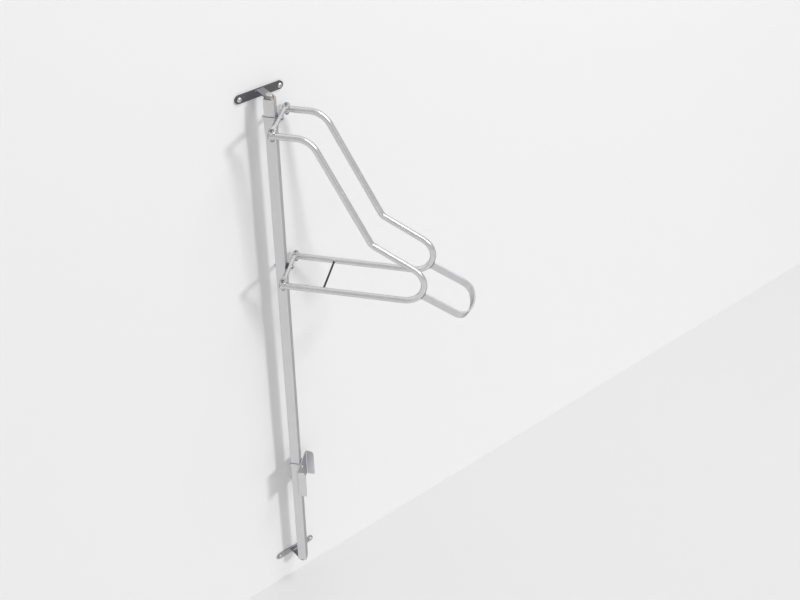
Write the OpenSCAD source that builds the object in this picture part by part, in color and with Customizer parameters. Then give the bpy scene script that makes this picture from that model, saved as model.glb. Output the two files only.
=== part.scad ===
// Wall rack that hangs a bicycle upright by one wheel and swings to either side.
// Row frame: X along the wall, -Y out of the wall, +Z up.
// The origin is the centre of the lower wall bar's back face.

/* [Wall brackets] */
// Distance between the two screw holes of a wall bar
wall_hole_spacing = 132; // [90:1:200]
// Diameter of the screw holes
wall_hole_d = 9; // [6:0.5:12]
// Height of the flat bar that wall bars and tongues are cut from
bar_height = 25; // [22:1:36]
// Thickness of that flat bar
bar_thickness = 5; // [4:0.5:8]
// Height from the lower wall bar to the upper one
bracket_rise = 1882; // [1860:1:2100]
// Distance from the wall to the pivot axis
axis_distance = 53; // [50:1:90]

/* [Pivots] */
// Diameter of the pivot pins
pin_d = 12; // [8:0.5:14]
// Diameter of the upper pin's head
pin_head_d = 20; // [16:1:24]
// Height of the upper pin's head
pin_head_h = 4; // [2:0.5:8]
// Wall of the bushes
bush_wall = 2; // [1:0.5:3]
// Thickness of the bushes' flange
bush_flange_t = 2; // [1:0.5:4]
// Diameter of the bushes' flange
bush_flange_d = 25; // [22:1:30]
// Length of the plugs in the post's ends
plug_length = 30; // [16:1:60]

/* [Post] */
// Side of the square tube
post_width = 30; // [26:1:40]
// Wall of the square tube
post_wall = 2; // [1.5:0.5:3]
// Outer corner radius of the square tube
post_corner_r = 3; // [2.5:0.5:5]
// Wall of the sleeves round the post
sleeve_wall = 1.5; // [1:0.5:3]
// Height of the upper sleeve
sleeve_height = 46; // [36:1:70]
// Height of the upper sleeve's top edge above the bolt through it
sleeve_over = 8; // [8:0.5:20]

/* [Cradle] */
// Diameter of the hoops' tube
tube_d = 18; // [14:0.5:25]
// Wall of the hoops' tube
tube_wall = 2; // [1:0.5:2.5]
// Diameter of the cross tubes
cross_d = 14; // [12:0.5:18]
// Wall of the cross tubes
cross_wall = 2; // [1.5:0.5:2.5]
// Distance between the two hoops, centre to centre
hoop_spacing = 150; // [110:1:190]
// Height from the hoops' upper legs to the upper wall bar
cradle_below = 68; // [66:1:180]
// Height from the hoops' lower legs to the upper ones
cradle_drop = 509; // [480:1:600]
// Length of the hoops' legs behind their bolts
leg_behind = 9; // [8.5:0.5:10]
// Distance from the post's axis to the hoops' upper corner
corner_out = 128; // [118:1:170]
// Radius of the upper corner's bend
corner_r = 65; // [50:1:90]
// Distance from the post's axis to the hoops' knee
knee_out = 293; // [280:1:330]
// Height of the knee above the lower legs
knee_rise = 184; // [175:1:210]
// Radius of the knee's bend
knee_r = 29; // [25:1:60]
// Slope of the run from the knee to the nose, in degrees
run_angle = 30; // [24:0.5:32]
// Radius of the bend round the nose
nose_r = 61; // [55:1:78]
// Thickness of the caps in the hoops' rear ends
cap_flange_t = 1.5; // [1:0.5:2.5]
// How far the caps' rims stand past the tube
cap_rim = 0.5; // [0.5:0.5:1]
// Depth of the caps' plugs inside the tube
cap_depth = 4; // [2:0.5:4]

/* [Tie rod and strap] */
// Distance from the post's axis to the tie rod
tie_out = 144; // [70:1:250]
// Diameter of the tie rod
tie_d = 6; // [4:0.5:10]
// Width of the strap's flat bar
strap_width = 25; // [16:1:32]
// Thickness of the strap's flat bar
strap_thickness = 5; // [3:0.5:8]
// Slope of the strap's arms, in degrees
strap_angle = 27; // [20:1:40]
// How far the arms' line passes below the nose's centre
strap_drop = 6; // [0:1:12]
// Distance from the nose's centre to the strap's front, along the arms
strap_reach = 222; // [200:1:280]
// Radius of the strap's corner bends
strap_corner_r = 36; // [20:1:44]
// Radius of the strap's bowed front
strap_bow_r = 134; // [110:1:300]

/* [Wheel rest] */
// Height of the rest's top edge
rest_top = 491; // [300:1:900]
// Height of the rest
rest_height = 110; // [80:1:160]
// Width of the rest, outside its flanges
rest_width = 110; // [70:1:140]
// Depth of the rest, from the sleeve to the flanges' front edge
rest_depth = 30; // [20:1:60]
// Thickness of the rest's sheet
rest_sheet = 3; // [2:0.5:4]
// Inner radius of the rest's folds
rest_fold_r = 3; // [1:0.5:6]
// Radius of the flanges' front corners
rest_corner_r = 12; // [4:1:20]
// Distance between the rest's two bolts
rest_bolt_spacing = 60; // [30:1:70]

/* [Fasteners] */
// Thread diameter of the cradle's bolts
cradle_bolt_d = 6; // [5:1:8]
// Thread diameter of the rest's bolts
rest_bolt_d = 6; // [5:1:8]
// How far a bolt stands past its nut
bolt_proud = 2; // [1:0.5:5]
// Thickness of the saddle washers and the lower saddle's lips
saddle_lip = 3; // [2:0.5:6]
// Side of the lower saddle
saddle_size = 18; // [15:1:24]

/* [Fits] */
// Radial running clearance of the pins in the bushes
running_clearance = 0.05; // [0.02:0.01:0.1]
// Clearance of plugs, caps and sleeves on every side
fit_clearance = 0.1; // [0.05:0.05:0.2]
// Gap that a weld bead bridges
weld_gap = 0.1; // [0.05:0.05:0.2]
// Gap between a bush's flange and its tongue
pivot_gap = 0.3; // [0.2:0.1:0.6]
// Radial clearance of bolts in their holes
bolt_clearance = 0.25; // [0.1:0.05:0.5]

/* [Position] */
// Angle by which the rack is swung from straight out of the wall
swing_angle = 40; // [-45:1:45]

/* [Hidden] */
$fn = 64;

// Colours as the photo shows them
zinc = [0.74, 0.75, 0.76];
dark_zinc = [0.42, 0.43, 0.45];
bright_zinc = [0.82, 0.83, 0.84];
bronze = [0.62, 0.5, 0.3];
grey_plastic = [0.62, 0.62, 0.63];

// Cutting tools run past the faces that they open
past = 1;
// A tube's straight laps over its bends and is a hair fuller, so no two surfaces coincide
lap = 0.5;
lap_step = 0.1;

// Pivots and post, from the tongues inwards
lower_tongue_top = -bar_height / 2 + bar_thickness;
upper_tongue_bottom = bracket_rise + bar_height / 2 - bar_thickness;
post_bottom = lower_tongue_top + pivot_gap + bush_flange_t;
post_top = upper_tongue_bottom - pivot_gap - bush_flange_t;
post_inner = post_width - 2 * post_wall;
post_inner_r = post_corner_r - post_wall;
post_half = post_width / 2;
pin_r = pin_d / 2;
bush_bore_r = pin_r + running_clearance;
bush_r = bush_bore_r + bush_wall;
pin_lead_in = 1;
pin_length = plug_length - 2 * pin_lead_in;
tongue_length = axis_distance - bar_thickness - weld_gap;

// Proportions of heads and nuts to the thread
hex_flats = 1.625;
hex_head = 0.65;
flange_d = 2.1;
flange_t = 0.2;
round_head = 0.55;
round_head_d = 1.8;

// Sleeves
sleeve_inner = post_width + 2 * fit_clearance;
sleeve_outer = sleeve_inner + 2 * sleeve_wall;
sleeve_front = sleeve_outer / 2;
sleeve_corner_r = post_corner_r + fit_clearance;

// Cradle
cradle_top = bracket_rise - cradle_below;
cradle_low = cradle_top - cradle_drop;
hoop_x = hoop_spacing / 2;
tube_r = tube_d / 2;
tube_bore = tube_d - 2 * tube_wall;
cross_r = cross_d / 2;
cross_out = sleeve_front + fit_clearance + cross_r;
leg_start = cross_out - leg_behind;

// A cross tube's ends: pressing leaves two walls, and half of the tube's girth as width
pressed_t = 2 * cross_wall;
pressed_width = PI * (cross_d - cross_wall) / 2 + cross_wall;
press_end = hoop_x - pressed_width / 2;
press_start = press_end - cross_d;

// Saddle washers lie on the round legs, above under the pressed ends and below over the nuts
washer_seat = tube_r + fit_clearance;
washer_crest = washer_seat + saddle_lip / 2;
cross_rise = washer_crest + pressed_t / 2;
nose_corner_out = knee_out + knee_rise / tan(run_angle);
// Outline of a hoop's centre line: distance from the post, height above the lower leg
hoop_points = [
  [leg_start, cradle_drop], [corner_out, cradle_drop], [knee_out, knee_rise],
  [nose_corner_out, 0], [leg_start, 0]
];
hoop_radii = [0, corner_r, knee_r, nose_r, 0];
nose_centre = bend_centre(hoop_points, hoop_radii, 3);

// Strap, in a frame along its arms with the nose's centre as origin
strap_half = hoop_x;
strap_bow_half_angle = asin((strap_half - strap_corner_r) / (strap_bow_r - strap_corner_r));
strap_bow_centre = strap_reach - strap_thickness / 2 - strap_bow_r;
strap_corner_along = strap_bow_centre + (strap_bow_r - strap_corner_r) * cos(strap_bow_half_angle);

// Wheel rest
rest_back = sleeve_front + weld_gap;
rest_low = rest_top - rest_height;
rest_bolt_heights = [for (s = [-1, 1]) rest_top - rest_height / 2 + s * rest_bolt_spacing / 2];

// Bolts hold the cross tubes down on the legs, and run through tube and post to a nut behind
washer_d = flange_d * cradle_bolt_d;
cradle_bolt_r = cradle_bolt_d / 2;
rest_bolt_r = rest_bolt_d / 2;
cross_crest = cross_r + fit_clearance + saddle_lip / 2;
cradle_head_seat = cross_out + cross_crest;
leg_heights = [cradle_top, cradle_low];
cross_heights = [cradle_top + cross_rise, cradle_low + cross_rise];
cradle_backs = [sleeve_front, post_half];
rest_head_seat = rest_back + rest_sheet;

function unit(v) = v / norm(v);
function heading(v) = atan2(v[1], v[0]);
function left(v) = [-v[1], v[0]];

// Angle by which a path turns at its point i, positive to the left
function turn(p, i) =
  let (t = heading(p[i + 1] - p[i]) - heading(p[i] - p[i - 1]))
  t > 180 ? t - 360 : t < -180 ? t + 360 : t;

// Length of straight that a bend takes away on each side of its corner
function set_back(p, r, i) = r[i] * tan(abs(turn(p, i)) / 2);
function bend_start(p, r, i) = p[i] - unit(p[i] - p[i - 1]) * set_back(p, r, i);
function bend_end(p, r, i) = p[i] + unit(p[i + 1] - p[i]) * set_back(p, r, i);
function bend_centre(p, r, i) =
  bend_start(p, r, i) + left(unit(p[i] - p[i - 1])) * r[i] * sign(turn(p, i));

// Places what is drawn round the post's axis, front towards -Y, at the swung angle
module swung() {
  translate([0, -axis_distance, 0])
    rotate([0, 0, swing_angle])
      children();
}

// Turns a drawing of outward distance and height into the plane beside the wheel
module beside(x, z) {
  translate([x, 0, z])
    rotate([90, 0, -90])
      children();
}

// Points a shape drawn along +Z straight out of the post
module outward(out, z) {
  translate([0, -out, z])
    rotate([90, 0, 0])
      children();
}

// Round rod along straight runs and tangent bends, longer at both ends by over
module bent_rod(p, r, d, over = 0) {
  last = len(p) - 1;
  for (i = [0 : last - 1]) {
    dir = unit(p[i + 1] - p[i]);
    a = i == 0 ? p[0] - dir * over : bend_end(p, r, i) - dir * lap;
    b = i == last - 1 ? p[last] + dir * over : bend_start(p, r, i + 1) + dir * lap;
    translate([a[0], a[1], 0])
      rotate([0, 0, heading(dir)])
        rotate([0, 90, 0])
          cylinder(h = norm(b - a), d = d + lap_step);
  }
  for (i = [1 : last - 1]) {
    k = bend_centre(p, r, i);
    from = turn(p, i) > 0 ? bend_start(p, r, i) : bend_end(p, r, i);
    translate([k[0], k[1], 0])
      rotate([0, 0, heading(from - k)])
        rotate_extrude(angle = abs(turn(p, i)))
          translate([r[i], 0])
            circle(d = d);
  }
}

module rounded_square(size, r) {
  square([size, size - 2 * r], center = true);
  square([size - 2 * r, size], center = true);
  for (x = [-1, 1], y = [-1, 1])
    translate([x, y] * (size / 2 - r))
      circle(r);
}

module square_tube(outer, outer_r, inner, inner_r, h) {
  linear_extrude(h)
    difference() {
      rounded_square(outer, outer_r);
      rounded_square(inner, inner_r);
    }
}

// Hexagonal prism of a nut or bolt head, measured across its flats
module hexagon(flats, h) {
  cylinder(h = h, d = flats / cos(30), $fn = 6);
}

// Bolt through tube and post: the head's underside lies at z = 0, the shank runs down
module hex_bolt(d, length) {
  hexagon(hex_flats * d, hex_head * d);
  translate([0, 0, -length])
    cylinder(h = length + past, d = d);
}

module flange_nut(d) {
  difference() {
    union() {
      cylinder(h = flange_t * d, d = flange_d * d);
      hexagon(hex_flats * d, d);
    }
    translate([0, 0, -past])
      cylinder(h = d + 2 * past, r = d / 2 + fit_clearance);
  }
}

// Flat bar with round ends, its back face on the wall
module wall_bar(z) {
  color(dark_zinc)
    translate([0, 0, z])
      rotate([90, 0, 0])
        linear_extrude(bar_thickness)
          difference() {
            union() {
              square([wall_hole_spacing, bar_height], center = true);
              for (s = [-1, 1])
                translate([s * wall_hole_spacing / 2, 0])
                  circle(d = bar_height);
            }
            for (s = [-1, 1])
              translate([s * wall_hole_spacing / 2, 0])
                circle(d = wall_hole_d);
          }
}

// Flat bar that stands out from a wall bar, round at the pivot
module tongue(z) {
  color(zinc)
    translate([0, -axis_distance, z])
      linear_extrude(bar_thickness)
        difference() {
          union() {
            circle(d = bar_height);
            translate([-bar_height / 2, 0])
              square([bar_height, tongue_length]);
          }
          circle(r = pin_r + fit_clearance);
        }
}

// Pin along +Z from z = 0, with a short lead-in at its end
module pin_shank(length) {
  tip = length - pin_lead_in;
  rotate_extrude()
    polygon([[0, 0], [pin_r, 0], [pin_r, tip], [pin_r - pin_lead_in, length], [0, length]]);
}

module flanged_bush() {
  rotate_extrude()
    polygon([
      [bush_bore_r, -bush_flange_t], [bush_flange_d / 2, -bush_flange_t],
      [bush_flange_d / 2, 0], [bush_r, 0],
      [bush_r, plug_length], [bush_bore_r, plug_length]
    ]);
}

module post_plug() {
  difference() {
    linear_extrude(plug_length)
      rounded_square(post_inner - 2 * fit_clearance, post_inner_r);
    translate([0, 0, -past])
      cylinder(h = plug_length + 2 * past, r = bush_r + fit_clearance);
  }
}

// Holes through the post from front to back
module through_holes(heights, r) {
  for (z = heights)
    outward(-post_width, z)
      cylinder(h = 2 * post_width, r = r + bolt_clearance);
}

// Places a part at each of the four leg bolts, with its origin on the leg's axis
module at_leg_bolts() {
  for (x = [-hoop_x, hoop_x], z = leg_heights)
    translate([x, -cross_out, z])
      children();
}

// End of a cross tube towards +X: it widens as it is pressed flat, and ends in a round tip
module pressed_end() {
  round_half = cross_r + lap_step;
  flat_half = pressed_t / 2 - 2 * lap_step;
  intersection() {
    translate([press_start, 0, 0])
      rotate([0, 90, 0])
        cylinder(h = cross_d, r1 = cross_r - lap_step / 2, r2 = (pressed_width - lap_step) / 2);
    rotate([90, 0, 0])
      linear_extrude(2 * pressed_width, center = true)
        polygon([
          [press_start - lap, round_half], [press_end + lap, flat_half],
          [press_end + lap, -flat_half], [press_start - lap, -round_half]
        ]);
  }
  linear_extrude(pressed_t, center = true) {
    translate([hoop_x, 0])
      circle(d = pressed_width);
    translate([press_end - lap, -pressed_width / 2])
      square([hoop_x - press_end + lap, pressed_width]);
  }
}

// Tube over both legs, its ends pressed flat and drilled, with a hole for the bolt to the post
module cross_tube(z) {
  hole_r = cradle_bolt_r + bolt_clearance;
  color(zinc)
    swung()
      translate([0, -cross_out, z])
        difference() {
          union() {
            rotate([0, 90, 0])
              cylinder(h = 2 * (press_start + lap), d = cross_d, center = true);
            for (s = [0, 1])
              mirror([s, 0, 0])
                pressed_end();
          }
          rotate([0, 90, 0])
            cylinder(h = 2 * press_start, d = cross_d - 2 * cross_wall, center = true);
          rotate([90, 0, 0])
            cylinder(h = 2 * cross_d, r = hole_r, center = true);
          for (s = [-1, 1])
            translate([s * hoop_x, 0, 0])
              cylinder(h = cross_d, r = hole_r, center = true);
        }
}

// Hoop of one bent tube, drilled for its two bolts and, in the lower leg's inner wall, the tie rod
module hoop(side) {
  color(zinc)
    swung()
      difference() {
        beside(side * hoop_x, cradle_low)
          difference() {
            bent_rod(hoop_points, hoop_radii, tube_d);
            bent_rod(hoop_points, hoop_radii, tube_bore, over = past);
          }
        translate([0, -tie_out, cradle_low])
          rotate([0, side * 90, 0])
            cylinder(h = hoop_x, r = tie_d / 2 + fit_clearance);
        translate([side * hoop_x, -cross_out, cradle_low - tube_d])
          cylinder(h = cradle_drop + 2 * tube_d, r = cradle_bolt_r + bolt_clearance);
      }
}

module leg_cap() {
  translate([0, 0, -cap_flange_t])
    cylinder(h = cap_flange_t, r = tube_r + cap_rim);
  translate([0, 0, -cap_flange_t / 2])
    cylinder(h = cap_flange_t / 2 + cap_depth, r = tube_bore / 2 - fit_clearance);
}

// Outline of the strap seen along its width: two arms, two corners and a bowed front
module strap_outline() {
  inner = strap_thickness / 2;
  for (s = [-1, 1])
    translate([0, s * strap_half - inner])
      square([strap_corner_along, strap_thickness]);
  for (s = [-1, 1])
    translate([strap_corner_along, s * (strap_half - strap_corner_r)])
      strap_ring(strap_corner_r, s);
  translate([strap_bow_centre, 0])
    intersection() {
      difference() {
        circle(r = strap_bow_r + inner, $fn = 180);
        circle(r = strap_bow_r - inner, $fn = 180);
      }
      polygon([
        [0, 0],
        2 * strap_bow_r * [cos(strap_bow_half_angle), sin(strap_bow_half_angle)],
        2 * strap_bow_r * [cos(strap_bow_half_angle), -sin(strap_bow_half_angle)]
      ]);
    }
}

// Quarter-like ring of a strap corner, from the arm's direction round to the bowed front
module strap_ring(r, s) {
  inner = strap_thickness / 2;
  reach = 2 * (r + inner);
  intersection() {
    difference() {
      circle(r = r + inner);
      circle(r = r - inner);
    }
    polygon([
      [0, 0], [0, s * reach], [reach, s * reach],
      reach * [cos(strap_bow_half_angle), s * sin(strap_bow_half_angle)]
    ]);
  }
}

// Outline of the rest's sheet seen from above: web with a folded flange at each side
module rest_outline() {
  half = rest_width / 2;
  fold = rest_fold_r + rest_sheet;
  translate([-half + fold, -rest_back - rest_sheet])
    square([rest_width - 2 * fold, rest_sheet]);
  for (s = [-1, 1]) {
    translate([s * (half - rest_sheet / 2), -rest_back - (rest_depth + fold) / 2])
      square([rest_sheet, rest_depth - fold], center = true);
    translate([s * (half - fold), -rest_back - fold])
      intersection() {
        difference() {
          circle(fold);
          circle(rest_fold_r);
        }
        translate([s > 0 ? 0 : -2 * fold, 0])
          square(2 * fold);
      }
  }
}

module upper_wall_bar() {
  wall_bar(bracket_rise);
}

module lower_wall_bar() {
  wall_bar(0);
}

module upper_tongue() {
  tongue(upper_tongue_bottom);
}

module lower_tongue() {
  tongue(lower_tongue_top - bar_thickness);
}

// Headed pin that drops through the upper tongue into the post
module upper_pivot_pin() {
  color(bright_zinc)
    translate([0, -axis_distance, upper_tongue_bottom + bar_thickness]) {
      cylinder(h = pin_head_h, d = pin_head_d);
      mirror([0, 0, 1])
        pin_shank(bar_thickness + pivot_gap + bush_flange_t + pin_length);
    }
}

// Plain pin, flush with the lower tongue's underside
module lower_pivot_pin() {
  color(bright_zinc)
    translate([0, -axis_distance, lower_tongue_top - bar_thickness])
      pin_shank(bar_thickness + pivot_gap + bush_flange_t + pin_length);
}

module upper_bush() {
  color(bronze)
    translate([0, -axis_distance, post_top])
      mirror([0, 0, 1])
        flanged_bush();
}

module lower_bush() {
  color(bronze)
    translate([0, -axis_distance, post_bottom])
      flanged_bush();
}

module upper_plug() {
  color(zinc)
    swung()
      translate([0, 0, post_top - plug_length])
        post_plug();
}

module lower_plug() {
  color(zinc)
    swung()
      translate([0, 0, post_bottom])
        post_plug();
}

module post() {
  color(zinc)
    swung()
      difference() {
        translate([0, 0, post_bottom])
          square_tube(post_width, post_corner_r, post_inner, post_inner_r, post_top - post_bottom);
        through_holes(cross_heights, cradle_bolt_r);
        through_holes(rest_bolt_heights, rest_bolt_r);
      }
}

module sleeve(z, h) {
  translate([0, 0, z])
    square_tube(sleeve_outer, sleeve_corner_r + sleeve_wall, sleeve_inner, sleeve_corner_r, h);
}

module upper_sleeve() {
  color(zinc)
    swung()
      difference() {
        sleeve(cross_heights[0] + sleeve_over - sleeve_height, sleeve_height);
        through_holes([cross_heights[0]], cradle_bolt_r);
      }
}

module rest_sleeve() {
  color(zinc)
    swung()
      difference() {
        sleeve(rest_low, rest_height);
        through_holes(rest_bolt_heights, rest_bolt_r);
      }
}

module upper_cross_tube() {
  cross_tube(cross_heights[0]);
}

module lower_cross_tube() {
  cross_tube(cross_heights[1]);
}

// Block with a hollow seat between the round lower cross tube and the flat post
module lower_saddle() {
  z = cross_heights[1];
  depth = cross_out - cross_r - post_half + saddle_lip;
  color(dark_zinc)
    swung()
      difference() {
        translate([-saddle_size / 2, -post_half - depth, z - saddle_size / 2])
          cube([saddle_size, depth, saddle_size]);
        translate([-saddle_size, -cross_out, z])
          rotate([0, 90, 0])
            cylinder(h = 2 * saddle_size, r = cross_r + fit_clearance);
        through_holes([z], cradle_bolt_r);
      }
}

module left_hoop() {
  hoop(-1);
}

module right_hoop() {
  hoop(1);
}

module leg_caps() {
  color(grey_plastic)
    swung()
      for (s = [-1, 1], z = leg_heights)
        translate([s * hoop_x, 0, 0])
          outward(leg_start, z)
            leg_cap();
}

module tie_rod() {
  length = hoop_spacing - tube_d + 2 * tube_wall;
  color(dark_zinc)
    swung()
      translate([-length / 2, -tie_out, cradle_low])
        rotate([0, 90, 0])
          cylinder(h = length, d = tie_d);
}

// Flat bar bent round the front of the wheel, its arms coped to the noses of the hoops
module wheel_strap() {
  color(zinc)
    swung()
      difference() {
        beside(0, cradle_low)
          translate([nose_centre[0], nose_centre[1], 0])
            rotate([0, 0, -strap_angle])
              translate([0, -strap_drop, 0])
                rotate([90, 0, 0])
                  linear_extrude(strap_width, center = true)
                    strap_outline();
        for (s = [-1, 1])
          beside(s * hoop_x, cradle_low)
            translate([nose_centre[0], nose_centre[1], 0]) {
              translate([0, 0, -tube_d])
                cylinder(h = 2 * tube_d, r = nose_r);
              rotate_extrude()
                translate([nose_r, 0])
                  circle(r = tube_r + weld_gap);
            }
      }
}

// Channel of folded sheet for the second wheel, its flanges rounded at the front
module wheel_rest() {
  front = rest_back + rest_depth;
  color(zinc)
    swung()
      difference() {
        translate([0, 0, rest_low])
          linear_extrude(rest_height)
            rest_outline();
        through_holes(rest_bolt_heights, rest_bolt_r);
        for (s = [0, 1])
          beside(0, s == 0 ? rest_low : rest_top)
            mirror([0, s, 0])
              linear_extrude(rest_width + 2 * past, center = true)
                difference() {
                  translate([front - rest_corner_r, -past])
                    square([rest_corner_r + past, rest_corner_r + past]);
                  translate([front - rest_corner_r, rest_corner_r])
                    circle(rest_corner_r);
                }
      }
}

// Two bolts through tube and post, and four that hold the pressed ends down on the legs
module cradle_bolts() {
  tip = cradle_bolt_d + bolt_proud;
  color(bright_zinc)
    swung() {
      for (i = [0, 1])
        outward(cradle_head_seat, cross_heights[i])
          hex_bolt(cradle_bolt_d, cradle_head_seat + cradle_backs[i] + tip);
      at_leg_bolts()
        translate([0, 0, cross_rise + pressed_t / 2])
          hex_bolt(cradle_bolt_d, cross_rise + pressed_t / 2 + washer_crest + tip);
    }
}

// Washer hollowed to a tube along Y through the origin, flat on its far side
module saddle_washer(hollow_r, crest) {
  difference() {
    cylinder(h = crest, d = washer_d);
    rotate([90, 0, 0])
      cylinder(h = 2 * washer_d, r = hollow_r, center = true);
    translate([0, 0, -past])
      cylinder(h = crest + 2 * past, r = cradle_bolt_r + bolt_clearance);
  }
}

module cradle_washers() {
  color(zinc)
    swung() {
      for (z = cross_heights)
        outward(cross_out, z)
          rotate([0, 0, 90])
            saddle_washer(cross_r + fit_clearance, cross_crest);
      at_leg_bolts()
        for (side = [0, 1])
          mirror([0, 0, side])
            saddle_washer(washer_seat, washer_crest);
    }
}

module cradle_nuts() {
  color(bright_zinc)
    swung() {
      for (i = [0, 1])
        mirror([0, 1, 0])
          outward(cradle_backs[i], cross_heights[i])
            flange_nut(cradle_bolt_d);
      at_leg_bolts()
        translate([0, 0, -washer_crest])
          mirror([0, 0, 1])
            flange_nut(cradle_bolt_d);
    }
}

// Low round heads, so that the tyre runs clear of them
module rest_bolts() {
  length = rest_head_seat + sleeve_front + rest_bolt_d + bolt_proud;
  head_h = round_head * rest_bolt_d;
  color(bright_zinc)
    swung()
      for (z = rest_bolt_heights)
        outward(rest_head_seat, z) {
          cylinder(h = head_h, d = round_head_d * rest_bolt_d);
          translate([0, 0, -length])
            cylinder(h = length + head_h / 2, d = rest_bolt_d);
        }
}

module rest_nuts() {
  color(bright_zinc)
    swung()
      for (z = rest_bolt_heights)
        mirror([0, 1, 0])
          outward(sleeve_front, z)
            flange_nut(rest_bolt_d);
}

upper_wall_bar();
lower_wall_bar();
upper_tongue();
lower_tongue();
upper_pivot_pin();
lower_pivot_pin();
upper_bush();
lower_bush();
upper_plug();
lower_plug();
post();
upper_sleeve();
rest_sleeve();
upper_cross_tube();
lower_cross_tube();
lower_saddle();
left_hoop();
right_hoop();
leg_caps();
tie_rod();
wheel_strap();
wheel_rest();
cradle_bolts();
cradle_washers();
cradle_nuts();
rest_bolts();
rest_nuts();
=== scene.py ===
# %% [markdown]
# # A wall rack whose cradle swings
# The rack is steel. A square post turns between two wall brackets, and on the post
# two hoops of bent tube with a U strap at the front make a cradle. This script
# dresses the imported solids. It first loads them as a fixed frame.

# %% Load the frame
import math

import bpy
import numpy as np
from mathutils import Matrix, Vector


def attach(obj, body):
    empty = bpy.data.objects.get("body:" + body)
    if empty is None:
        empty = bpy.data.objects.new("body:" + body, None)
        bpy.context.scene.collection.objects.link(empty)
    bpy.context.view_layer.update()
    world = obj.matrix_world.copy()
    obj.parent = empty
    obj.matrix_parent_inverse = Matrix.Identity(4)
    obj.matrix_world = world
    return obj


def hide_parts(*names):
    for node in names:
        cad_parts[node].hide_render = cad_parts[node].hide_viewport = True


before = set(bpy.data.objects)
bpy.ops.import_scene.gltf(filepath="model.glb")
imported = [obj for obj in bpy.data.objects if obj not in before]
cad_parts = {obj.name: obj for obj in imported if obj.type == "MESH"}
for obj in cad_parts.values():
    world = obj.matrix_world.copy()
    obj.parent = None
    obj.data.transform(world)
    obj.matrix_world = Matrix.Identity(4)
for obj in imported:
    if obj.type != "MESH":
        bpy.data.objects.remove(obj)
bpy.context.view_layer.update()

# %% [markdown]
# ## Sizes
# The rack is drawn straight out of the wall, as a maker would draw it: x runs
# across the rack, out runs from the post's axis away from the wall, and z runs up,
# all in millimetres. One function then swings such points by the stored angle and
# turns them into metres. Turning the points, and not the objects, leaves every
# object at the origin, so patterns that read object coordinates stay in place.

# %% The rack's own sizes, in millimetres
SWING = math.radians(40)
AXIS_OUT = 53.0
POST, POST_WALL, POST_CORNER = 30.0, 2.0, 3.0
TUBE_R, TUBE_BORE_R = 9.05, 7.0
HOOP_X, LEG_START = 75.0, 14.7
UPPER_LEG, LOWER_LEG = 1814.0, 1305.0
BAR_H, BAR_T, SCREW_X = 25.0, 5.0, 66.0
SCREW_HOLE_R, PIVOT_HOLE_R = 4.5, 6.1
UPPER_BAR, LOWER_BAR = 1882.0, 0.0
UPPER_TONGUE, LOWER_TONGUE = UPPER_BAR + BAR_H / 2 - BAR_T, LOWER_BAR - BAR_H / 2
SLEEVE_OUT = 16.6
CROSS_R, CROSS_OUT, CROSS_RISE = 7.0, 23.7, 12.6
PRESSED_HALF, PRESSED_T = 10.42, 4.0
BOLT_R = 3.0
TIE_OUT, TIE_R, TIE_HALF = 144.0, 3.0, 68.0
REST_LOW, REST_HIGH = 381.0, 491.0


def swung(points):
    """Rack points (across, out, up) in mm, turned about the post's axis by the swing angle, in metres."""
    x, out, z = np.moveaxis(np.asarray(points, float), -1, 0)
    c, s = math.cos(SWING), math.sin(SWING)
    return np.stack([x * c + out * s, x * s - out * c - AXIS_OUT, z], -1) / 1000


def fixed(points):
    """Bracket points (along the wall, out from the wall, up) in mm, in metres: out becomes minus Y."""
    x, out, z = np.moveaxis(np.asarray(points, float), -1, 0)
    return np.stack([x, -out, z], -1) / 1000


print("post axis:", swung([0, 0, 0]).tolist())

# %% [markdown]
# ## From grids to pieces
# Nearly every piece here is a grid of points: rows along the piece and columns
# round it. Whole arrays are worked out at once, and one function makes them a
# mesh. It merges the points that lie on each other, which closes seams and poles,
# and turns the faces outwards by the sign of the volume they enclose. It also
# writes a UV map in metres, so that draw lines can follow a bent tube.

# %% Shells: a grid becomes points and faces
def shell(grid, wrap=(False, True)):
    """Points, faces and UVs of a grid. Each four neighbours make a face, and wrap says whether the last row
    or column meets the first. A UV is the length walked along the row and the column, in metres."""
    grid = np.asarray(grid, float)
    rows, cols = grid.shape[:2]
    r = np.arange(rows if wrap[0] else rows - 1)
    c = np.arange(cols if wrap[1] else cols - 1)
    r, c = np.meshgrid(r, c, indexing="ij")
    corners = [(r, c), (r + 1, c), (r + 1, c + 1), (r, c + 1)]
    faces = np.stack([(i % rows) * cols + j % cols for i, j in corners], -1).reshape(-1, 4)
    closed = np.concatenate([grid, grid[:1]], 0)
    closed = np.concatenate([closed, closed[:, :1]], 1)
    along = np.linalg.norm(np.diff(closed, axis=0), axis=2).mean(1)
    around = np.linalg.norm(np.diff(closed, axis=1), axis=2).max(0)
    u = np.concatenate([[0], np.cumsum(along)]) / 1000
    v = np.concatenate([[0], np.cumsum(around)]) / 1000
    uv = np.stack([np.stack([u[i], v[j]], -1) for i, j in corners], -2).reshape(-1, 4, 2)
    return grid.reshape(-1, 3), faces, uv


def turned_outwards(points, faces, uv):
    """The faces, all turned round if the volume that they enclose comes out negative."""
    a, b, c, d = (points[faces[:, k]] for k in range(4))
    volume = np.einsum("ij,ij->i", a, np.cross(b, c) + np.cross(c, d)).sum()
    return (faces[:, ::-1], uv[:, ::-1]) if volume < 0 else (faces, uv)


square_faces = shell([[(0, 0, 0), (0, 1, 0)], [(1, 0, 0), (1, 1, 0)]], (False, False))[1]
print("a grid of two by two points has", len(square_faces), "face")

# %% Pieces: shells become one object
all_pieces = []


def new_object(name, data):
    """A new object that shows the data, in the scene."""
    made = bpy.data.objects.new(name, data)
    bpy.context.scene.collection.objects.link(made)
    return made


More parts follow.
